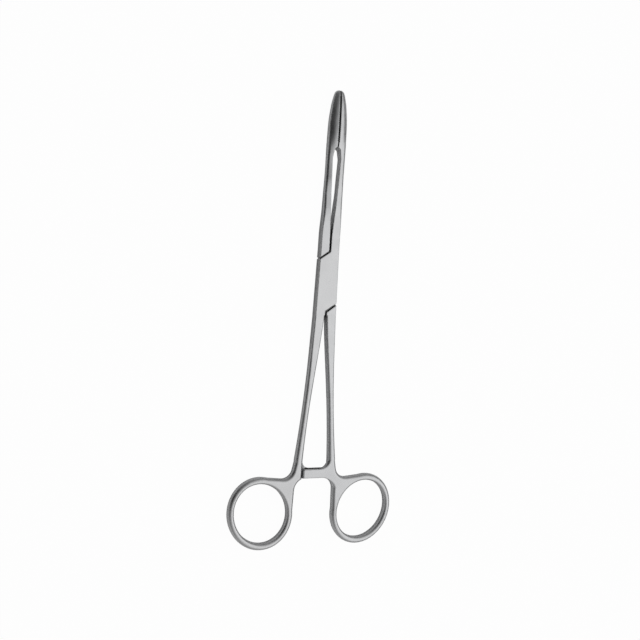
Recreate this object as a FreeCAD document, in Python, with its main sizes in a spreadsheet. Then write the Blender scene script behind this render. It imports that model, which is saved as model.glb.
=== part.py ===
import FreeCAD, Part
import math
import os
import Sketcher

# Ring-handled dressing forceps with a box lock and a ratchet, lying flat.
# Two forged halves cross at the lock: the box half has the mortise, the tongue half passes through it.
# X runs across the finger rings, Y from the rings to the jaw tips, Z up from the face that it lies on.
# The origin is where the pivot axis meets the lower face of the lock.
# Reaches are measured along the forceps from the pivot, and spreads across it from the centre line.

SIZES = {
    # The box lock, which both halves share, and the steps that cross its faces.
    "lock_thickness": 5.2,
    "lock_reach": 19.0,
    "lock_rear_width": 12.6,
    "neck_width": 11.3,
    "lock_edge": 0.4,
    "step_inner_reach": 17.0,
    "step_outer_reach": 12.85,
    "step_gap": 0.85,
    "seam_gap": 1.15,
    # The mortise and the tongue in it, and the pin that they turn on.
    "wall_thickness": 1.4,
    "tongue_face_clearance": 0.06,
    "tongue_side_clearance": 0.2,
    "tongue_corner_reach": 4.0,
    "pin_diameter": 3.4,
    "pin_press": 0.005,
    "pin_running_clearance": 0.03,
    # The necks leave the lock sharp-edged and flat, and grow rounder and more crowned towards the jaws.
    "neck_start_reach": 26.0,
    "neck_reach": 64.0,
    "neck_edge": 1.9,
    "neck_crown": 0.63,
    # The jaws, their serrated inner faces and the opening behind them.
    "jaw_root_reach": 76.0,
    "tip_reach": 107.5,
    "jaw_width": 11.3,
    "jaw_thickness": 7.3,
    "jaw_gap": 0.65,
    "jaw_offset": 0.5,
    "slot_width": 5.0,
    "slot_shoulder": 6.5,
    "slot_waist_reach": 49.0,
    "slot_waist_width": 3.7,
    "slot_end_reach": 26.5,
    "serration_pitch": 1.1,
    "serration_depth": 0.4,
    "serration_start": 2.2,
    "serration_end": 2.6,
    # The shanks, at five stations from the lock to the rings.
    "shank_root_spread": 3.45,
    "shank_root_width": 5.65,
    "shank_root_edge": 0.7,
    "shank_upper_reach": 39.0,
    "shank_upper_spread": 4.8,
    "shank_upper_width": 5.0,
    "shank_upper_thickness": 4.7,
    "shank_upper_edge": 1.05,
    "shank_middle_reach": 60.0,
    "shank_middle_spread": 6.5,
    "shank_middle_width": 4.1,
    "shank_middle_thickness": 4.3,
    "shank_middle_edge": 1.5,
    "shank_lower_reach": 82.0,
    "shank_lower_spread": 8.4,
    "shank_lower_width": 3.95,
    "shank_lower_thickness": 4.2,
    "shank_lower_edge": 1.7,
    "shank_foot_spread": 10.1,
    "shank_foot_width": 4.9,
    # The finger rings, whose centres lie a drop below the ratchet arms, and the webs that carry them.
    "ring_drop": 19.3,
    "ring_spread": 31.0,
    "ring_hole_width": 30.2,
    "ring_hole_length": 34.4,
    "ring_band": 3.75,
    "ring_lean": 22.6,
    "handle_thickness": 4.8,
    "handle_edge": 2.15,
    "ring_inner_edge": 1.45,
    "web_fillet": 6.0,
    # The ratchet arms, which lie one over the other between the shanks.
    "arm_reach": 107.2,
    "arm_width": 5.2,
    "arm_end_gap": 0.35,
    "arm_chamfer": 0.8,
    "arm_root_fillet": 5.2,
    "arm_foot_fillet": 7.0,
    "arm_edge": 0.6,
    "tooth_pitch": 2.5,
    "tooth_depth": 1.0,
    "tooth_count": 4,
    "tooth_end_land": 2.0,
    "tooth_gap": 0.16,
}

doc = FreeCAD.newDocument("dressing_forceps")
sheet = doc.addObject("Spreadsheet::Sheet", "Sizes")
for row, (alias, value) in enumerate(SIZES.items(), start=1):
    sheet.set(f"A{row}", alias.replace("_", " "))
    sheet.set(f"B{row}", str(value))
    sheet.setAlias(f"B{row}", alias)
doc.recompute()


class Length:
    """A number for drawing, with the sheet expression that keeps it true when a size changes."""

    def __init__(self, value, text=None):
        self.value = float(value)
        self.text = text if text else f"({float(value)!r})"

    def joined(self, other, sign, value):
        return Length(value, f"({self.text} {sign} {other.text})")

    def __add__(self, other):
        other = as_length(other)
        return self.joined(other, "+", self.value + other.value)

    def __sub__(self, other):
        other = as_length(other)
        return self.joined(other, "-", self.value - other.value)

    def __mul__(self, other):
        other = as_length(other)
        return self.joined(other, "*", self.value * other.value)

    def __truediv__(self, other):
        other = as_length(other)
        return self.joined(other, "/", self.value / other.value)

    def __neg__(self):
        return as_length(0) - self

    __radd__ = __add__
    __rmul__ = __mul__

    def __rsub__(self, other):
        return as_length(other) - self


def as_length(number):
    return number if isinstance(number, Length) else Length(number)


def size(alias):
    return Length(sheet.get(alias), f"Sizes.{alias}")


def bind(target, prop, length):
    target.setExpression(prop, as_length(length).text)


def outline(name, corners, arcs=None, reach=None):
    """A closed sketch. arcs gives, for the corner that an arc starts from, its radius and its turn."""
    arcs = arcs or {}
    sketch = doc.addObject("Sketcher::SketchObject", name)
    corners = [(as_length(x), as_length(y)) for x, y in corners]
    ends = []
    for index, (x, y) in enumerate(corners):
        next_x, next_y = corners[(index + 1) % len(corners)]
        start = FreeCAD.Vector(x.value, y.value, 0)
        end = FreeCAD.Vector(next_x.value, next_y.value, 0)
        if index not in arcs:
            sketch.addGeometry(Part.LineSegment(start, end), False)
            ends.append((1, 2))
            continue
        radius, turn = as_length(arcs[index][0]), arcs[index][1]
        chord = end - start
        rise = math.sqrt(max(radius.value ** 2 - (chord.Length / 2) ** 2, 0))
        across = FreeCAD.Vector(-chord.y, chord.x, 0).normalize()
        centre = (start + end) * 0.5 + across * rise * turn
        first, last = (start, end) if turn > 0 else (end, start)
        from_angle = math.atan2(first.y - centre.y, first.x - centre.x)
        to_angle = math.atan2(last.y - centre.y, last.x - centre.x)
        if to_angle < from_angle:
            to_angle += 2 * math.pi
        circle = Part.Circle(centre, FreeCAD.Vector(0, 0, 1), radius.value)
        sketch.addGeometry(Part.ArcOfCircle(circle, from_angle, to_angle), False)
        ends.append((1, 2) if turn > 0 else (2, 1))
    for index, (x, y) in enumerate(corners):
        following = (index + 1) % len(corners)
        sketch.addConstraint(
            Sketcher.Constraint("Coincident", index, ends[index][1], following, ends[following][0]))
        for kind, place in (("DistanceX", x), ("DistanceY", y)):
            number = sketch.addConstraint(
                Sketcher.Constraint(kind, -1, 1, index, ends[index][0], place.value))
            bind(sketch, f"Constraints[{number}]", place)
        if index in arcs:
            radius = as_length(arcs[index][0])
            number = sketch.addConstraint(Sketcher.Constraint("Radius", index, radius.value))
            bind(sketch, f"Constraints[{number}]", radius)
    if reach is not None:
        sketch.Placement = FreeCAD.Placement(
            FreeCAD.Vector(0, reach.value, 0), FreeCAD.Rotation(FreeCAD.Vector(1, 0, 0), 90))
        bind(sketch, "Placement.Base.y", reach)
    return sketch


def section(name, reach, left, right, thickness, edge):
    """A rectangle with rounded corners, upright across the forceps at a reach."""
    half = as_length(thickness) / 2
    corners = [
        (left + edge, -half), (right - edge, -half), (right, edge - half), (right, half - edge),
        (right - edge, half), (left + edge, half), (left, half - edge), (left, edge - half)]
    return outline(name, corners, {1: (edge, 1), 3: (edge, 1), 5: (edge, 1), 7: (edge, 1)}, reach)


def oval_section(name, reach, middle, half_width, thickness, edge, crown):
    """Like section, but the top and the bottom are arcs that stand a crown's height above the edges."""
    side = as_length(thickness) / 2 - edge - crown
    edge_height = edge + crown
    crown_radius = (half_width * half_width + edge_height * edge_height - half_width * edge * 2) / (crown * 2)
    run = crown_radius * (half_width - edge) / (crown_radius - edge)
    climb = side + edge * (crown_radius - edge_height) / (crown_radius - edge)
    corners = [
        (middle - run, -climb), (middle + run, -climb), (middle + half_width, -side),
        (middle + half_width, side), (middle + run, climb), (middle - run, climb),
        (middle - half_width, side), (middle - half_width, -side)]
    arcs = {0: (crown_radius, 1), 1: (edge, 1), 3: (edge, 1), 4: (crown_radius, 1), 5: (edge, 1), 7: (edge, 1)}
    return outline(name, corners, arcs, reach)


def extrusion(name, sketch, thickness, low=None):
    """A slab on a plan outline: about the middle plane, or upward from a height."""
    slab = doc.addObject("Part::Extrusion", name)
    slab.Base = sketch
    slab.DirMode = "Custom"
    slab.Dir = FreeCAD.Vector(0, 0, 1)
    slab.Solid = True
    bind(slab, "LengthFwd", thickness)
    if low is None:
        slab.Symmetric = True
    else:
        bind(slab, "Placement.Base.z", low)
    return slab


def loft(name, sections):
    solid = doc.addObject("Part::Loft", name)
    solid.Sections = sections
    solid.Solid = True
    solid.Ruled = False
    return solid


def fused(name, pieces):
    union = doc.addObject("Part::MultiFuse", name)
    union.Shapes = pieces
    union.Refine = True
    return union


def cut(name, base, tool):
    result = doc.addObject("Part::Cut", name)
    result.Base = base
    result.Tool = tool
    result.Refine = True
    return result


def common(name, base, tool):
    result = doc.addObject("Part::Common", name)
    result.Base = base
    result.Tool = tool
    return result


def rounded(name, base, radii):
    """Edge fillets. radii gives, for an edge of the base, its radius at each end, or None."""
    doc.recompute()
    chosen = []
    for number, edge in enumerate(base.Shape.Edges, start=1):
        pair = radii(edge)
        if pair:
            chosen.append((number, pair[0], pair[1]))
    result = doc.addObject("Part::Fillet", name)
    result.Base = base
    result.Edges = chosen
    return result


# Cutting outlines run this far out past the metal, and cutters are this tall.
far = 14.0
tall = 30.0
middle_height = size("lock_thickness") / 2
end_edge = size("lock_edge")

# The lock and the necks that carry the jaws: one flat outline, with softened outer edges.
lock_rear = size("lock_rear_width") / 2
neck = size("neck_width") / 2
lock_front_reach = size("lock_reach")
neck_start = size("neck_start_reach")
neck_plan = outline("neck_plan", [
    (lock_rear, -lock_front_reach), (neck, lock_front_reach), (neck, neck_start), (-neck, neck_start),
    (-neck, lock_front_reach), (-lock_rear, -lock_front_reach)])
neck_slab = extrusion("neck_slab", neck_plan, size("lock_thickness"))


def long_side(edge):
    """Picks the long outer edges of the lock and gives them its small radius."""
    box = edge.BoundBox
    beside = min(abs(box.XMin), abs(box.XMax)) > SIZES["neck_width"] / 2 - 0.1
    return (SIZES["lock_edge"],) * 2 if beside and box.ZLength < 0.01 and box.YLength > 1 else None


neck_bar = rounded("neck_bar", neck_slab, long_side)

# The necks and jaws are one loft, and bend a little to the right of the handles' centre line.
# The first two stations leave the lock level with it. Each of the others has a share of the necks'
# length, of the offset to the right, of the growth of the edges and of the crown.
NECK_STATIONS = [
    ("neck_c", 0.25, 0.45, 0.42, 0.12),
    ("neck_d", 0.50, 0.70, 0.72, 0.50),
    ("neck_e", 0.78, 0.90, 0.90, 0.80),
    ("neck_f", 1.00, 1.00, 1.00, 0.85),
]
neck_length = size("neck_reach") - neck_start
edge_growth = size("neck_edge") - end_edge
jaw_offset = size("jaw_offset")
level_length = neck_length * 0.02
sections = [
    section(name, reach, -neck, neck, size("lock_thickness"), end_edge)
    for name, reach in (("neck_a", neck_start), ("neck_b", neck_start + level_length))]
for name, share, offset_share, edge_share, crown_share in NECK_STATIONS:
    sections.append(oval_section(
        name, neck_start + neck_length * share, jaw_offset * offset_share, neck, size("lock_thickness"),
        end_edge + edge_growth * edge_share, size("neck_crown") * crown_share))

# The jaws are oval and taper to a blunt tip. Each station has a share of the jaws' length from their
# root, of the width and of the thickness, and its edges' radius and crown as shares of half of that.
JAW_STATIONS = [
    ("jaw_a", -0.11, 1.000, 0.77, 0.69, 0.17),
    ("jaw_b", 0.02, 1.000, 0.90, 0.69, 0.20),
    ("jaw_c", 0.17, 0.995, 1.00, 0.66, 0.27),
    ("jaw_d", 0.38, 0.980, 1.00, 0.60, 0.35),
    ("jaw_e", 0.60, 0.890, 0.93, 0.60, 0.36),
    ("jaw_f", 0.79, 0.740, 0.82, 0.60, 0.36),
    ("jaw_g", 0.915, 0.575, 0.67, 0.60, 0.36),
    ("jaw_h", 0.975, 0.425, 0.51, 0.60, 0.36),
    ("jaw_i", 1.00, 0.220, 0.28, 0.60, 0.36),
]
jaw_length = size("tip_reach") - size("jaw_root_reach")
for name, share, width_share, thickness_share, edge_share, crown_share in JAW_STATIONS:
    thickness = size("jaw_thickness") * thickness_share
    sections.append(oval_section(
        name, size("jaw_root_reach") + jaw_length * share, jaw_offset, size("jaw_width") * (width_share / 2),
        thickness, thickness * (edge_share / 2), thickness * (crown_share / 2)))
jaw_blank = loft("jaw_blank", sections)
front_blank = fused("front_blank", [neck_bar, jaw_blank])

# The opening behind the jaws: a teardrop that narrows to the seam above the lock.
slot = size("slot_width") / 2
seam = size("seam_gap") / 2
waist = size("slot_waist_width") / 2
jaw_root = size("jaw_root_reach")
shoulder_reach = jaw_root - size("slot_shoulder")
apex_half = slot * 0.7
apex_reach = jaw_root - apex_half * 0.9
waist_middle = jaw_offset * 0.75
slot_plan = outline("slot_plan", [
    (jaw_offset, jaw_root), (jaw_offset - apex_half, apex_reach), (jaw_offset - slot, shoulder_reach),
    (waist_middle - waist, size("slot_waist_reach")), (-seam, size("slot_end_reach")),
    (-seam, size("step_inner_reach")), (seam, size("step_inner_reach")), (seam, size("slot_end_reach")),
    (waist_middle + waist, size("slot_waist_reach")), (jaw_offset + slot, shoulder_reach),
    (jaw_offset + apex_half, apex_reach)])
slot_cutter = extrusion("slot_cutter", slot_plan, tall)
slotted_blank = cut("slotted_blank", front_blank, slot_cutter)

# The two steps across each face of the lock, seen in plan as slanted lines on either side of the pivot.
step_slope = (size("step_inner_reach") - size("step_outer_reach")) / neck
step_half = size("step_gap") / 2
step_inner = size("step_inner_reach")
jaw_half_gap = size("jaw_gap") / 2
beyond_tip = size("tip_reach") + far
beyond_lock = lock_front_reach + far


def step_reach(spread, shift):
    """How far along the front step lies at a distance out from the centre line."""
    return step_inner - step_slope * spread + shift


box_plan = outline("box_plan", [
    (jaw_offset + jaw_half_gap, beyond_tip), (jaw_offset + jaw_half_gap, shoulder_reach),
    (jaw_half_gap, size("slot_end_reach")), (jaw_half_gap, step_reach(0, -step_half)),
    (-far, step_reach(far, -step_half)), (-far, -beyond_lock), (-seam, -beyond_lock),
    (-seam, -step_reach(0, -step_half)), (far, -step_reach(far, -step_half)), (far, beyond_tip)])
box_share = common("box_share", slotted_blank, extrusion("box_region", box_plan, tall))

front_of_tongue_plan = outline("front_of_tongue_plan", [
    (jaw_offset - jaw_half_gap, beyond_tip), (-far, beyond_tip), (-far, step_reach(far, step_half)),
    (-jaw_half_gap, step_reach(0, step_half)), (-jaw_half_gap, size("slot_end_reach")),
    (jaw_offset - jaw_half_gap, shoulder_reach)])
rear_of_tongue_plan = outline("rear_of_tongue_plan", [
    (seam, -step_reach(0, step_half)), (seam, -beyond_lock), (far, -beyond_lock),
    (far, -step_reach(far, step_half))])
tongue_front = common("tongue_front", slotted_blank,
                      extrusion("front_of_tongue", front_of_tongue_plan, tall))
tongue_rear = common("tongue_rear", front_blank,
                     extrusion("rear_of_tongue", rear_of_tongue_plan, tall))

core_slope = (step_inner - size("tongue_corner_reach")) / neck
core_far = step_inner - core_slope * far


def tongue_plan(name, clearance):
    """The crossing part in plan: it runs from the rear right of the lock to its front left."""
    past = lock_front_reach + 1
    return outline(name, [
        (-seam, past), (-far, past), (-far, -core_far - clearance), (-seam, -step_inner - clearance),
        (seam, -past), (far, -past), (far, core_far + clearance), (seam, step_inner + clearance)])


mortise_height = size("lock_thickness") - size("wall_thickness") * 2
tongue_height = mortise_height - size("tongue_face_clearance") * 2
mortise = extrusion("mortise", tongue_plan("mortise_plan", size("tongue_side_clearance")), mortise_height)
tongue_layer = extrusion("tongue_layer", tongue_plan("tongue_layer_plan", 0), tongue_height)
tongue = common("tongue", neck_bar, tongue_layer)

# The pivot pin, a plain rivet filed flush with both faces of the lock.
pin_radius = size("pin_diameter") / 2


def pin_cylinder(name, radius):
    cylinder = doc.addObject("Part::Cylinder", name)
    bind(cylinder, "Radius", radius)
    bind(cylinder, "Height", size("lock_thickness"))
    bind(cylinder, "Placement.Base.z", -middle_height)
    return cylinder


wall_bore = pin_cylinder("wall_bore", pin_radius - size("pin_press"))
tongue_bore = pin_cylinder("tongue_bore", pin_radius + size("pin_running_clearance"))


def handle(side, name):
    """Shank, web, finger ring and ratchet arm. side is 1 for the right hand and -1 for the left."""
    def mirrored(corners):
        return [(side * as_length(x), y) for x, y in corners]

    def shank_section(label, reach, spread, width, thickness, edge):
        inner, outer = side * (spread - width / 2), side * (spread + width / 2)
        left, right = (inner, outer) if side > 0 else (outer, inner)
        return section(f"{name}_{label}", -reach, left, right, thickness, edge)

    stations = [shank_section(
        "root", lock_front_reach - 1.5, size("shank_root_spread"), size("shank_root_width"),
        size("lock_thickness"), size("shank_root_edge"))]
    for label in ("upper", "middle", "lower"):
        sizes = [size(f"shank_{label}_{word}") for word in ("reach", "spread", "width", "thickness", "edge")]
        stations.append(shank_section(label, *sizes))
    foot = (size("shank_foot_spread"), size("shank_foot_width"), size("handle_thickness"), size("handle_edge"))
    foot_reach = size("arm_reach") - size("arm_root_fillet")
    stations.append(shank_section("foot", foot_reach, *foot))
    shank = loft(f"{name}_shank", stations)

    # The ring and its hole are two ellipses a band apart, leaning outward at the top.
    ring_x = side * size("ring_spread")
    ring_y = -size("arm_reach") - size("arm_width") - size("ring_drop")
    discs = []
    for label, band in (("rim", size("ring_band")), ("hole", as_length(0))):
        ellipse = doc.addObject("Part::Ellipse", f"{name}_{label}_line")
        bind(ellipse, "MajorRadius", size("ring_hole_length") / 2 + band)
        bind(ellipse, "MinorRadius", size("ring_hole_width") / 2 + band)
        ellipse.Placement = FreeCAD.Placement(
            FreeCAD.Vector(0, 0, 0), FreeCAD.Rotation(FreeCAD.Vector(0, 0, 1), 90))
        ellipse.setExpression("Placement.Rotation.Angle", f"(90 - {side} * Sizes.ring_lean) * 1 deg")
        bind(ellipse, "Placement.Base.x", ring_x)
        bind(ellipse, "Placement.Base.y", ring_y)
        discs.append(extrusion(f"{name}_{label}", ellipse, size("handle_thickness")))
    rim, hole = discs

    # The web fills the corner between the shank and the ring, with a fillet on each side.
    foot_inner = size("shank_foot_spread") - size("shank_foot_width") / 2
    foot_outer = size("shank_foot_spread") + size("shank_foot_width") / 2
    arm_top = -size("arm_reach")
    arm_bottom = arm_top - size("arm_width")
    # Its corners near the rim lie within the ring's band, and the fillet on the outer side is an arc
    # whose chord runs across and along by shares of its radius.
    foot_fillet = size("arm_foot_fillet")
    fillet_inset = 3.0
    web_side = foot_inner - fillet_inset + foot_fillet
    web_lean = 0.35
    band_overlap = 4.0
    rim_low = (size("ring_spread") - 4.0, arm_bottom - 5.0)
    rim_high = (size("ring_spread") - 2.0, arm_bottom + 0.9)
    web_radius = size("web_fillet")
    chord_across, chord_along = 1.1, 0.87
    neck_foot = foot_outer + 0.85
    straight_end = 1.0
    web_plan = outline(f"{name}_web_plan", mirrored([
        (foot_inner, -foot_reach), (foot_inner, arm_bottom - foot_fillet),
        (web_side, arm_bottom - foot_fillet), (web_side + web_lean, ring_y),
        (web_side + band_overlap, ring_y), rim_low, rim_high,
        (neck_foot + web_radius * chord_across, arm_bottom),
        (neck_foot, arm_bottom + web_radius * chord_along), (foot_outer, -foot_reach - straight_end),
        (foot_outer, -foot_reach)]),
        {7: (web_radius, -side)})
    web = extrusion(f"{name}_web", web_plan, size("handle_thickness"))
    plate = fused(f"{name}_plate", [rim, web])

    foot_cutter = doc.addObject("Part::Cylinder", f"{name}_foot_cutter")
    bind(foot_cutter, "Radius", foot_fillet)
    bind(foot_cutter, "Height", as_length(tall))
    bind(foot_cutter, "Placement.Base.x", side * (web_side - foot_fillet))
    bind(foot_cutter, "Placement.Base.y", arm_bottom - foot_fillet)
    bind(foot_cutter, "Placement.Base.z", as_length(-tall / 2))
    filleted_plate = cut(f"{name}_plate_with_fillet", plate, foot_cutter)
    ring_plate = cut(f"{name}_ring_plate", filleted_plate, hole)

    # The ratchet arm is half as thick as the handle, and ends just short of the other shank.
    tip = -(foot_inner - size("arm_end_gap"))
    chamfer = size("arm_chamfer")
    root_fillet = size("arm_root_fillet")
    root_overlap = 2.5
    web_overlap = 2.0
    arm_plan = outline(f"{name}_arm_plan", mirrored([
        (tip, arm_bottom), (tip, arm_top - chamfer), (tip + chamfer, arm_top),
        (foot_inner - root_fillet, arm_top), (foot_inner, arm_top + root_fillet),
        (foot_inner + root_overlap, arm_top + root_fillet), (web_side + web_overlap, arm_bottom - foot_fillet),
        (web_side, arm_bottom - foot_fillet), (web_side - foot_fillet, arm_bottom)]),
        {3: (root_fillet, side), 7: (foot_fillet, side)})
    tooth_gap = size("tooth_gap") / 2
    arm_depth = size("handle_thickness") / 2 - tooth_gap
    low = tooth_gap if side > 0 else -(arm_depth + tooth_gap)
    arm_slab = extrusion(f"{name}_arm_slab", arm_plan, arm_depth, low)

    # Saw teeth across the arm's inner face: each has an upright face and a long slope.
    pitch = size("tooth_pitch")
    first = tip + size("tooth_end_land")
    land = tooth_gap * side
    depth = side * size("tooth_depth")
    below_land = -side * as_length(1)
    past_arm = 2.0
    zigzag = [(first, below_land)]
    for number in range(int(SIZES["tooth_count"])):
        start = first + pitch * number
        zigzag += [(start, land + depth), (start + pitch, land)]
    zigzag.append((first + pitch * int(SIZES["tooth_count"]), below_land))
    tooth_plan = outline(f"{name}_tooth_plan", mirrored(zigzag), reach=arm_bottom - past_arm)
    tooth_cutter = extrusion(f"{name}_tooth_cutter", tooth_plan, size("arm_width") + 2 * past_arm, as_length(0))
    tooth_cutter.Dir = FreeCAD.Vector(0, 1, 0)
    arm = cut(f"{name}_arm", arm_slab, tooth_cutter)
    grip_blank = fused(f"{name}_grip_blank", [ring_plate, arm])

    # The handle's edges are broadly rounded outside, less so in the ring, and only broken at the arm.
    # Where the arm runs into the handle, the rounding grows from one to the other along an arc.
    broad, fine, inside = SIZES["handle_edge"], SIZES["arm_edge"], SIZES["ring_inner_edge"]
    face_height = SIZES["handle_thickness"] / 2

    def grip_radii(edge):
        box, centre = edge.BoundBox, edge.CenterOfMass
        if box.ZLength > 0.01 or abs(abs(centre.z) - face_height) > 0.01:
            return None
        if box.YMin > -foot_reach.value - 0.01:
            return None
        if len(edge.Vertexes) == 1:
            return (inside, inside)
        start, end = [edge.valueAt(place) * side for place in (edge.FirstParameter, edge.LastParameter)]
        inner_end, outer_end = sorted((start.x, end.x))
        if centre.z * side < 0 or inner_end > foot_inner.value + 0.1:
            return (broad, broad)
        reaches_foot = box.YMax > -foot_reach.value - 0.1
        beside_web = outer_end > foot_inner.value + 0.1
        if not (reaches_foot or beside_web):
            return (fine, fine)
        return (fine, broad) if start.x < end.x else (broad, fine)

    grip = rounded(f"{name}_grip", grip_blank, grip_radii)
    return [shank, grip]


def serration_cutter(side, name, shift):
    """A comb of V ridges that cuts the fine teeth across one jaw's inner face."""
    middle = jaw_offset
    face = jaw_offset + side * jaw_half_gap
    pitch = size("serration_pitch")
    start = jaw_root + size("serration_start") + shift
    span = SIZES["tip_reach"] - SIZES["serration_end"] - start.value
    count = int(span / SIZES["serration_pitch"])
    body = doc.addObject("PartDesign::Body", f"{name}_serration_cutter")
    back_plan = outline(f"{name}_comb_back_plan", [
        (middle, start), (face, start), (face, start + pitch * count), (middle, start + pitch * count)])
    ridge_plan = outline(f"{name}_comb_ridge_plan", [
        (middle, start), (face, start), (face + side * size("serration_depth"), start + pitch / 2),
        (face, start + pitch), (middle, start + pitch)])
    for label, sketch in (("back", back_plan), ("ridge", ridge_plan)):
        body.addObject(sketch)
        pad = body.newObject("PartDesign::Pad", f"{name}_comb_{label}")
        pad.Profile = sketch
        pad.Length = tall
        pad.Midplane = True
    doc.recompute()
    ridges = body.newObject("PartDesign::LinearPattern", f"{name}_comb_ridges")
    ridges.Originals = [pad]
    ridges.Direction = (ridge_plan, ["V_Axis"])
    ridges.setExpression("Length", f"{pitch.text} * {count - 1}")
    ridges.Occurrences = count
    body.Tip = ridges
    return body


handles = {}
for side, name in ((1, "right"), (-1, "left")):
    handles[name] = fused(f"{name}_handle", handle(side, name))

# The box half: its mortise, its pressed bore for the pin, and the teeth of the right jaw.
box_blank = fused("box_blank", [box_share, handles["left"]])
box_mortised = cut("box_mortised", box_blank, mortise)
box_bored = cut("box_bored", box_mortised, wall_bore)
box_half = cut("box_half", box_bored, serration_cutter(1, "right", as_length(0)))

# The tongue half: its bore runs free on the pin, and its jaw teeth fall between the other jaw's.
tongue_blank = fused("tongue_blank", [tongue_front, tongue_rear, tongue, handles["right"]])
tongue_bored = cut("tongue_bored", tongue_blank, tongue_bore)
tongue_half = cut("tongue_half", tongue_bored, serration_cutter(-1, "left", size("serration_pitch") / 2))

lock_pin = pin_cylinder("lock_pin", pin_radius)

# All is drawn about the middle plane, and lifted here so that the lock's lower face is at height zero.
SUB_PARTS = [box_half, tongue_half, lock_pin]
for item in SUB_PARTS[:2]:
    bind(item, "Placement.Base.z", middle_height)
bind(lock_pin, "Placement.Base.z", as_length(0))
doc.recompute()

for item in doc.Objects:
    if "Invalid" in item.State or "Error" in item.State:
        raise ValueError(f"{item.Name} did not rebuild")
    if item.isDerivedFrom("Part::Feature") and (item.Shape.isNull() or not item.Shape.isValid()):
        raise ValueError(f"{item.Name} has no valid shape")
for item in SUB_PARTS:
    if item.Shape.isNull() or not item.Shape.isValid() or len(item.Shape.Solids) != 1:
        raise ValueError(f"{item.Label} is not one valid solid")

os.makedirs("parts", exist_ok=True)
for item in SUB_PARTS:
    item.Shape.exportStep(f"parts/{item.Label}.step")
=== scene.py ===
import bpy
from mathutils import Matrix, Vector


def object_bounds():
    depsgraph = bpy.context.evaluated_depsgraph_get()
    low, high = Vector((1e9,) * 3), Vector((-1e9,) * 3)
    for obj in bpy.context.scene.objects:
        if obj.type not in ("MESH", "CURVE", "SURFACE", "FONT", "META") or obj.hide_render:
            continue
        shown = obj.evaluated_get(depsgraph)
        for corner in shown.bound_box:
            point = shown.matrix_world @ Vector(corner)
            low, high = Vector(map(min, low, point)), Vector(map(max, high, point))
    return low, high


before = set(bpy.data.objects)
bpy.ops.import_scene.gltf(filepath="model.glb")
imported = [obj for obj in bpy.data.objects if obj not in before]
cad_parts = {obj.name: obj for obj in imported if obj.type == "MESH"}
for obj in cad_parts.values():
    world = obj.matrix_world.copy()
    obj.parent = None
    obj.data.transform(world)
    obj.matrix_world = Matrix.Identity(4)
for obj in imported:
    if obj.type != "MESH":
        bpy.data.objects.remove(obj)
cad_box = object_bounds()

# The photograph's view: the forceps lie flat, and the camera stands close above them,
# a little to the left of the shanks, with the jaws at the top of the picture.
MM = 0.001
LOCK_MIDDLE_HEIGHT = 2.6 * MM
FRAME_PIXELS = 640
FOCAL_PIXELS = 732.3
SENSOR_WIDTH = 36
CAMERA_ROLL = 0.066
lock_middle = Vector((0, 0, LOCK_MIDDLE_HEIGHT))
camera_place = lock_middle + Vector((-163.825, -6.446, 383.075)) * MM
camera_aim = lock_middle + Vector((-2.329, -21.965, 0)) * MM

camera_data = bpy.data.cameras.new("photo_camera")
camera = bpy.data.objects.new("photo_camera", camera_data)
bpy.context.scene.collection.objects.link(camera)
back = (camera_place - camera_aim).normalized()
level = Vector((0, 1, 0)).cross(back).normalized()
upright = back.cross(level)
turned = Matrix.Rotation(CAMERA_ROLL, 3, back)
columns = Matrix((turned @ level, turned @ upright, back)).transposed()
camera.matrix_world = Matrix.Translation(camera_place) @ columns.to_4x4()
camera_data.sensor_width = SENSOR_WIDTH
camera_data.lens = FOCAL_PIXELS / FRAME_PIXELS * SENSOR_WIDTH
camera_data.clip_start = 0.01
bpy.context.scene.camera = camera

# The surface that the forceps lie on: plain matt white, level with the undersides of the jaws.
# The picture shows it white, and the object still shades it.
FLOOR_SIZE = 6.0
MATT_WHITE = (0.85, 0.85, 0.85, 1)
FULL_WHITE = (1, 1, 1, 1)
# the share of plain white in what the camera sees of the surface, and in what the steel mirrors of it
CAMERA_SHARE = 0.975
MIRROR_SHARE = 0.06


def node(tree, kind, inputs=None, **settings):
    """A new node with these settings. An input takes a value or another node's output."""
    made = tree.nodes.new(kind)
    for setting, value in settings.items():
        setattr(made, setting, value)
    for socket, value in (inputs or {}).items():
        if isinstance(value, bpy.types.NodeSocket):
            tree.links.new(value, made.inputs[socket])
        else:
            made.inputs[socket].default_value = value
    return made


def calculate(tree, operation, *values, **settings):
    """The result of this operation on numbers or other nodes' outputs, from a new math node."""
    made = node(tree, "ShaderNodeMath", dict(enumerate(values)), operation=operation, **settings)
    return made.outputs[0]


bpy.ops.object.select_all(action="DESELECT")
bpy.ops.mesh.primitive_plane_add(size=FLOOR_SIZE, location=(0, 0, cad_box[0][2]))
floor = bpy.context.object
floor.name = "floor"

floor_material = bpy.data.materials.new("white_surface")
floor_material.use_nodes = True
tree = floor_material.node_tree
tree.nodes.clear()
matt = node(tree, "ShaderNodeBsdfDiffuse", {"Color": MATT_WHITE})
glow = node(tree, "ShaderNodeEmission", {"Color": FULL_WHITE, "Strength": 1.0})
ray = node(tree, "ShaderNodeLightPath").outputs
camera_part = calculate(tree, "MULTIPLY", ray["Is Camera Ray"], CAMERA_SHARE)
glow_part = calculate(tree, "MULTIPLY_ADD", ray["Is Glossy Ray"], MIRROR_SHARE, camera_part)
lift = node(tree, "ShaderNodeMixShader", {"Fac": glow_part, 1: matt.outputs[0], 2: glow.outputs[0]})
node(tree, "ShaderNodeOutputMaterial", {"Surface": lift.outputs[0]})
floor.data.materials.append(floor_material)

# The studio, white to the camera. The steel sees a bright ceiling that leans to the right, a dark
# band high on the left, and grey near the horizon, which is how the rounded sides are shaded.
BRIGHTEST_DIRECTION = Vector((0.72, -0.22, 0.66)).normalized()
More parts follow.
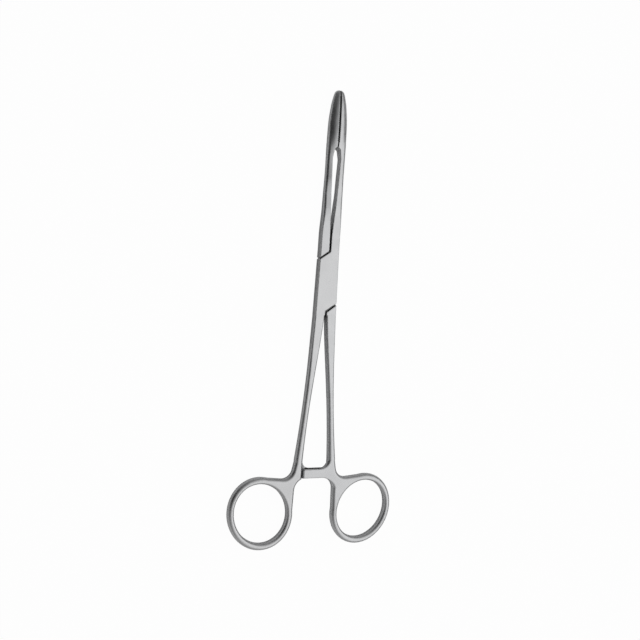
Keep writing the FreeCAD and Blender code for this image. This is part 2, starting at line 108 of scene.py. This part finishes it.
# how directly a direction points at the brightest part, from 0 to 1, and the grey seen there
ROOM_GREYS = [
    (0.20, 0.015), (0.50, 0.015), (0.60, 0.05), (0.70, 0.16),
    (0.78, 0.32), (0.86, 0.58), (0.92, 0.90), (1.0, 0.95)]
# the ceiling has this share of its grey up to the first height, and all of it from the second
HORIZON_SHARE = 0.06
HORIZON_TOP = 0.08
CEILING_START = 0.52
# how directly a direction points at the left wall, at the wall's edge and where it is full
LEFT_WALL_DIRECTION = Vector((-0.85, -0.50, 0.0)).normalized()
LEFT_WALL_EDGE = 0.62
LEFT_WALL_FULL = 0.92
LEFT_WALL_GREY = 0.30
END_WALL_GREY = 0.30

world = bpy.data.worlds.new("studio")
bpy.context.scene.world = world
world.use_nodes = True
tree = world.node_tree
tree.nodes.clear()
direction = node(tree, "ShaderNodeTexCoord").outputs["Generated"]
along_axes = node(tree, "ShaderNodeSeparateXYZ", {0: direction}).outputs
toward_light = node(
    tree, "ShaderNodeVectorMath", {0: direction, 1: BRIGHTEST_DIRECTION}, operation="DOT_PRODUCT")
how_directly = calculate(tree, "MULTIPLY_ADD", toward_light.outputs["Value"], 0.5, 0.5)
falloff = node(tree, "ShaderNodeValToRGB", {"Fac": how_directly})
while len(falloff.color_ramp.elements) < len(ROOM_GREYS):
    falloff.color_ramp.elements.new(0.5)
for element, (position, grey) in zip(falloff.color_ramp.elements, ROOM_GREYS):
    element.position = position
    element.color = (grey, grey, grey, 1)
above_horizon = node(tree, "ShaderNodeMapRange", {
    "Value": along_axes["Z"], "From Min": HORIZON_TOP, "From Max": CEILING_START,
    "To Min": HORIZON_SHARE, "To Max": 1.0}, interpolation_type="SMOOTHSTEP")
toward_left_wall = node(
    tree, "ShaderNodeVectorMath", {0: direction, 1: LEFT_WALL_DIRECTION}, operation="DOT_PRODUCT")
left_wall = node(tree, "ShaderNodeMapRange", {
    "Value": toward_left_wall.outputs["Value"], "From Min": LEFT_WALL_EDGE,
    "From Max": LEFT_WALL_FULL, "To Max": LEFT_WALL_GREY}, interpolation_type="SMOOTHSTEP")
end_walls = calculate(tree, "MULTIPLY", along_axes["Y"], along_axes["Y"])
walls = calculate(tree, "MULTIPLY_ADD", end_walls, END_WALL_GREY, left_wall.outputs[0])
room_grey = calculate(
    tree, "MULTIPLY_ADD", falloff.outputs["Color"], above_horizon.outputs[0], walls)
room = node(tree, "ShaderNodeBackground", {"Color": room_grey})
white = node(tree, "ShaderNodeBackground", {"Color": FULL_WHITE, "Strength": 1.0})
ray = node(tree, "ShaderNodeLightPath").outputs
choose = node(tree, "ShaderNodeMixShader", {
    "Fac": ray["Is Camera Ray"], 1: room.outputs[0], 2: white.outputs[0]})
node(tree, "ShaderNodeOutputWorld", {"Surface": choose.outputs[0]})

# name, place, size in metres, power in watts
LAMPS = [
    ("overhead_panel", (0.25, 0.10, 0.75), 0.6, 0.12),
    ("side_panel", (0.65, -0.15, 0.35), 0.4, 0.08),
]
for name, place, size, power in LAMPS:
    light = bpy.data.lights.new(name, "AREA")
    light.size = size
    light.energy = power
    lamp = bpy.data.objects.new(name, light)
    lamp.location = place
    lamp.rotation_euler = (-Vector(place)).to_track_quat("-Z", "Y").to_euler()
    bpy.context.scene.collection.objects.link(lamp)

# The box half, on the left at the rings: one stainless forging, cut through for the tongue.
# It is ground lengthwise on a fine belt, round and round on the ring, and then blasted to a soft satin.
# Effects that every part of the forceps shares are node groups, made here and placed in each material.


def node_group(name, inputs, outputs):
    """A node group with these named sockets, what it is given and the inputs of its result."""
    tree = bpy.data.node_groups.new(name, "ShaderNodeTree")
    for in_out, sockets in (("INPUT", inputs), ("OUTPUT", outputs)):
        for socket_name, kind in sockets.items():
            tree.interface.new_socket(name=socket_name, in_out=in_out, socket_type=f"NodeSocket{kind}")
    return tree, node(tree, "NodeGroupInput").outputs, node(tree, "NodeGroupOutput").inputs


# Grain left by the belt: fine streaks along the shanks, the lock and the jaws, turning to follow the
# ring below the ratchet arm. Ring Side is -1 for the left ring, 1 for the right, and 0 for no ring.
RING_CENTRE = (31.0 * MM, -131.7 * MM)
# streaks to the metre across, along and through the piece, and to the radian round the ring
GRAIN_SCALE = (5200, 190, 5200)
RING_GRAIN_SCALE = (5200, 3.6, 5200)
LENGTHWISE_END = -109 * MM
ROUND_START = -116 * MM

belt_grain, given, result = node_group(
    "belt_grain", {"Position": "Vector", "Ring Side": "Float", "Seed": "Float"}, {"Streaks": "Float"})
lengthwise = node(
    belt_grain, "ShaderNodeVectorMath", {0: given["Position"], 1: GRAIN_SCALE}, operation="MULTIPLY")
centre_across = calculate(belt_grain, "MULTIPLY", given["Ring Side"], RING_CENTRE[0])
centre = node(belt_grain, "ShaderNodeCombineXYZ", {"X": centre_across, "Y": RING_CENTRE[1]})
from_centre = node(
    belt_grain, "ShaderNodeVectorMath", {0: given["Position"], 1: centre.outputs[0]},
    operation="SUBTRACT")
apart = node(belt_grain, "ShaderNodeSeparateXYZ", {0: from_centre.outputs[0]}).outputs
level_part = node(belt_grain, "ShaderNodeCombineXYZ", {"X": apart["X"], "Y": apart["Y"]})
radius = node(belt_grain, "ShaderNodeVectorMath", {0: level_part.outputs[0]}, operation="LENGTH")
turn = calculate(belt_grain, "ARCTAN2", apart["Y"], apart["X"])
round_ring = node(belt_grain, "ShaderNodeCombineXYZ", {
    "X": radius.outputs["Value"], "Y": turn, "Z": apart["Z"]})
around = node(
    belt_grain, "ShaderNodeVectorMath", {0: round_ring.outputs[0], 1: RING_GRAIN_SCALE},
    operation="MULTIPLY")
where = node(belt_grain, "ShaderNodeSeparateXYZ", {0: given["Position"]}).outputs
at_ring = node(belt_grain, "ShaderNodeMapRange", {
    "Value": where["Y"], "From Min": LENGTHWISE_END, "From Max": ROUND_START})
chosen = node(belt_grain, "ShaderNodeMix", {
    "Factor": at_ring.outputs[0], "A": lengthwise.outputs[0], "B": around.outputs[0]},
    data_type="VECTOR")
streaks = node(belt_grain, "ShaderNodeTexNoise", {
    "Vector": chosen.outputs["Result"], "W": given["Seed"],
    "Scale": 1.0, "Detail": 3.0, "Roughness": 0.6}, noise_dimensions="4D")
belt_grain.links.new(streaks.outputs["Fac"], result["Streaks"])

# Satin left by fine blasting: small soft specks, and wide faint clouds where it was blasted unevenly.
# output, how many to the metre, how much finer detail
SATIN_NOISES = [
    ("Specks", 2600, 2.0),
    ("Clouds", 130, 3.0),
]
blasted_satin, given, result = node_group(
    "blasted_satin", {"Position": "Vector", "Seed": "Float"}, {"Specks": "Float", "Clouds": "Float"})
for output_name, scale, detail in SATIN_NOISES:
    noise = node(blasted_satin, "ShaderNodeTexNoise", {
        "Vector": given["Position"], "W": given["Seed"], "Scale": scale, "Detail": detail},
        noise_dimensions="4D")
    blasted_satin.links.new(noise.outputs["Fac"], result[output_name])

# Gaps: Open is 1 in the open, and falls to 0 deep in a seam, where residue and painted shade gather,
# and in the painted shade that fills the ratchet's teeth as far as their front edge, level with the
# lock's middle.
# Filed is 1 on the end of the front ratchet arm, which is left as filed: clean, and rougher.
SHADE_SAMPLES = 8
# how open a place is, from 0 to 1, where a seam is fully dark, and where it is clear
SEAM_DARK = 0.30
SEAM_CLEAR = 0.74
# the filed look starts and is full at these places along the handles, and keeps to the arm's end
FILED_START = -95 * MM
FILED_FULL = -103 * MM
ARM_END = -7.0 * MM
ARM_END_REACH = 0.55 * MM
# the middle of the teeth's front edge, and how far the painted shade reaches from it each way
TEETH_FRONT = (-0.3 * MM, -107.2 * MM)
TEETH_SHADE_REACH = (5.4 * MM, 0.5 * MM)
# how far above and below the lock's middle the painted shade is whole, and where it ends
TEETH_SHADE_WHOLE = 0.6 * MM
TEETH_SHADE_END = 1.3 * MM

gap_shade, given, result = node_group(
    "gap_shade", {"Position": "Vector", "Reach": "Float"}, {"Open": "Float", "Filed": "Float"})
where = node(gap_shade, "ShaderNodeSeparateXYZ", {0: given["Position"]}).outputs
seen = node(
    gap_shade, "ShaderNodeAmbientOcclusion", {"Distance": given["Reach"]}, samples=SHADE_SAMPLES)
clear = node(gap_shade, "ShaderNodeMapRange", {
    "Value": seen.outputs["AO"], "From Min": SEAM_DARK, "From Max": SEAM_CLEAR},
    interpolation_type="SMOOTHSTEP")
at_arms = node(gap_shade, "ShaderNodeMapRange", {
    "Value": where["Y"], "From Min": FILED_START, "From Max": FILED_FULL})
at_arm_end = calculate(gap_shade, "COMPARE", where["X"], ARM_END, ARM_END_REACH)
filed = calculate(gap_shade, "MULTIPLY", at_arms.outputs[0], at_arm_end)
clean = calculate(gap_shade, "MAXIMUM", clear.outputs[0], filed)
# painted shade in the ratchet's teeth: a band around the lock's middle height, along the teeth's front
# edge
above_middle = calculate(gap_shade, "SUBTRACT", where["Z"], LOCK_MIDDLE_HEIGHT)
off_middle = calculate(gap_shade, "ABSOLUTE", above_middle)
teeth_shade_band = node(gap_shade, "ShaderNodeMapRange", {
    "Value": off_middle, "From Min": TEETH_SHADE_END, "From Max": TEETH_SHADE_WHOLE})
across_teeth = calculate(gap_shade, "COMPARE", where["X"], TEETH_FRONT[0], TEETH_SHADE_REACH[0])
along_teeth = calculate(gap_shade, "COMPARE", where["Y"], TEETH_FRONT[1], TEETH_SHADE_REACH[1])
at_teeth = calculate(gap_shade, "MULTIPLY", across_teeth, along_teeth)
painted_teeth_shade = calculate(gap_shade, "MULTIPLY", at_teeth, teeth_shade_band.outputs[0])
open_part = calculate(gap_shade, "SUBTRACT", clean, painted_teeth_shade, use_clamp=True)
gap_shade.links.new(open_part, result["Open"])
gap_shade.links.new(filed, result["Filed"])

# Edges: one mask is 1 on the sharp edges, which handling and cloths have rubbed smooth and which carry
# a painted highlight, and Rounded is the surface's normal with those edges rubbed round. The rivet is
# ground off flush with the box, so no edge is rounded within its reach.
EDGE_SAMPLES = 4
RIVET_REACH = 3.2 * MM
LEVEL_ONLY = (1, 1, 0)
# how alike the rounded and the true normal are where rubbing starts, and where it is full
RUBBED_START = 0.995
RUBBED_FULL = 0.88

rubbed_and_highlit_edges, given, result = node_group(
    "rubbed_and_highlit_edges", {"Position": "Vector", "Width": "Float", "Patches": "Float"},
    {"Rubbed And Highlit": "Float", "Rounded": "Vector"})
level_part = node(
    rubbed_and_highlit_edges, "ShaderNodeVectorMath", {0: given["Position"], 1: LEVEL_ONLY}, operation="MULTIPLY")
from_rivet = node(
    rubbed_and_highlit_edges, "ShaderNodeVectorMath", {0: level_part.outputs[0]}, operation="LENGTH")
past_rivet = calculate(rubbed_and_highlit_edges, "GREATER_THAN", from_rivet.outputs["Value"], RIVET_REACH)
edge_width = calculate(rubbed_and_highlit_edges, "MULTIPLY", past_rivet, given["Width"])
rounded = node(
    rubbed_and_highlit_edges, "ShaderNodeBevel", {"Radius": edge_width}, samples=EDGE_SAMPLES).outputs["Normal"]
surface = node(rubbed_and_highlit_edges, "ShaderNodeNewGeometry").outputs["Normal"]
alike = node(rubbed_and_highlit_edges, "ShaderNodeVectorMath", {0: rounded, 1: surface}, operation="DOT_PRODUCT")
at_edge = node(rubbed_and_highlit_edges, "ShaderNodeMapRange", {
    "Value": alike.outputs["Value"], "From Min": RUBBED_START, "From Max": RUBBED_FULL})
rubbed_and_highlit = calculate(rubbed_and_highlit_edges, "MULTIPLY", at_edge.outputs[0], given["Patches"])
rubbed_and_highlit_edges.links.new(rubbed_and_highlit, result["Rubbed And Highlit"])
rubbed_and_highlit_edges.links.new(rounded, result["Rounded"])

# Steel: how far into a gap the shade reaches and how wide the edges are rubbed, the colour of residue
# and painted shade in the gaps, the residue's roughness, and how much each effect adds to the steel's
# tone, roughness and relief.
GAP_REACH = 2.2 * MM
EDGE_WIDTH = 0.7 * MM
SATIN_SEED_STEP = 3.0
RESIDUE_AND_SHADE_COLOUR = (0.020, 0.019, 0.018, 1)
RESIDUE_ROUGHNESS = 0.6
LEAST_TONE = 0.82
CLOUD_TONE = 0.24
STREAK_TONE = 0.20
SPECK_TONE = 0.04
# how much a painted highlight brightens the tone on the rubbed edges
PAINTED_EDGE_HIGHLIGHT = 0.16
USUAL_TONE = 1.06
CLOUD_ROUGHNESS = 0.10
STREAK_ROUGHNESS = 0.10
RUBBED_ROUGHNESS = -0.10
FILED_ROUGHNESS = 0.45
SPECK_RELIEF = 0.3
RELIEF_STRENGTH = 0.35
RELIEF_HEIGHT = 0.012 * MM


def ground_steel(piece, ring_side, seed, roughness, colour):
    """Give a piece of the forceps its stainless steel, ground, blasted and worn."""
    steel = bpy.data.materials.new(f"{piece}_steel")
    steel.use_nodes = True
    tree = steel.node_tree
    shader = tree.nodes["Principled BSDF"].inputs
    shader["Metallic"].default_value = 1.0

    position = node(tree, "ShaderNodeTexCoord").outputs["Object"]
    grain = node(tree, "ShaderNodeGroup", {
        "Position": position, "Ring Side": ring_side, "Seed": seed}, node_tree=belt_grain).outputs
    satin = node(tree, "ShaderNodeGroup", {
        "Position": position, "Seed": seed + SATIN_SEED_STEP}, node_tree=blasted_satin).outputs
    gap = node(tree, "ShaderNodeGroup", {
        "Position": position, "Reach": GAP_REACH}, node_tree=gap_shade).outputs
    edge = node(tree, "ShaderNodeGroup", {
        "Position": position, "Width": EDGE_WIDTH, "Patches": satin["Clouds"]},
        node_tree=rubbed_and_highlit_edges).outputs

    # tone: faint clouds, streaks and specks around the steel's own colour, and a painted highlight on
    # rubbed edges
    tone = calculate(tree, "MULTIPLY_ADD", satin["Clouds"], CLOUD_TONE, LEAST_TONE)
    tone = calculate(tree, "MULTIPLY_ADD", grain["Streaks"], STREAK_TONE, tone)
    tone = calculate(tree, "MULTIPLY_ADD", satin["Specks"], SPECK_TONE, tone)
    tone = calculate(tree, "MULTIPLY_ADD", edge["Rubbed And Highlit"], PAINTED_EDGE_HIGHLIGHT, tone)
    toned = node(tree, "ShaderNodeVectorMath", {
        0: [channel / USUAL_TONE for channel in colour], "Scale": tone}, operation="SCALE")
    # the seams turn to the dark colour as residue and painted shade, and the ratchet's teeth as painted
    # shade
    shaded = node(tree, "ShaderNodeMix", {
        "Factor": gap["Open"], "A": RESIDUE_AND_SHADE_COLOUR, "B": toned.outputs[0]}, data_type="RGBA")
    tree.links.new(shaded.outputs["Result"], shader["Base Color"])

    # roughness: uneven satin, smoother on rubbed edges, rough where filed and dull in the gaps
    least = roughness - CLOUD_ROUGHNESS / 2
    rough = calculate(tree, "MULTIPLY_ADD", satin["Clouds"], CLOUD_ROUGHNESS, least)
    rough = calculate(tree, "MULTIPLY_ADD", grain["Streaks"], STREAK_ROUGHNESS, rough)
    rough = calculate(tree, "MULTIPLY_ADD", edge["Rubbed And Highlit"], RUBBED_ROUGHNESS, rough)
    rough = calculate(tree, "MULTIPLY_ADD", gap["Filed"], FILED_ROUGHNESS, rough)
    dull = node(tree, "ShaderNodeMix", {
        "Factor": gap["Open"], "A": RESIDUE_ROUGHNESS, "B": rough}, data_type="FLOAT")
    tree.links.new(dull.outputs["Result"], shader["Roughness"])

    # relief: the streaks, with the blasted specks over them, on the rounded surface
    relief = calculate(tree, "MULTIPLY_ADD", satin["Specks"], SPECK_RELIEF, grain["Streaks"])
    bump = node(tree, "ShaderNodeBump", {
        "Strength": RELIEF_STRENGTH, "Distance": RELIEF_HEIGHT,
        "Height": relief, "Normal": edge["Rounded"]})
    tree.links.new(bump.outputs["Normal"], shader["Normal"])

    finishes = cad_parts[piece].data.materials
    finishes.clear()
    finishes.append(steel)


ground_steel("box_half", ring_side=-1, seed=0.0, roughness=0.21, colour=(0.620, 0.622, 0.628))

# The tongue half, on the right at the rings: the other forging, with the tongue that crosses the box.
# It was ground on its own, so its grain and clouds differ a little from the box half's.
ground_steel("tongue_half", ring_side=1, seed=7.3, roughness=0.22, colour=(0.616, 0.620, 0.628))

# The lock pin: a stainless rivet pressed through the box walls and ground off flush with them,
# so its ends carry the lock's own grain and hardly show.
ground_steel("lock_pin", ring_side=0, seed=0.0, roughness=0.215, colour=(0.619, 0.621, 0.627))

view = bpy.context.scene.view_settings
view.view_transform = "Standard"
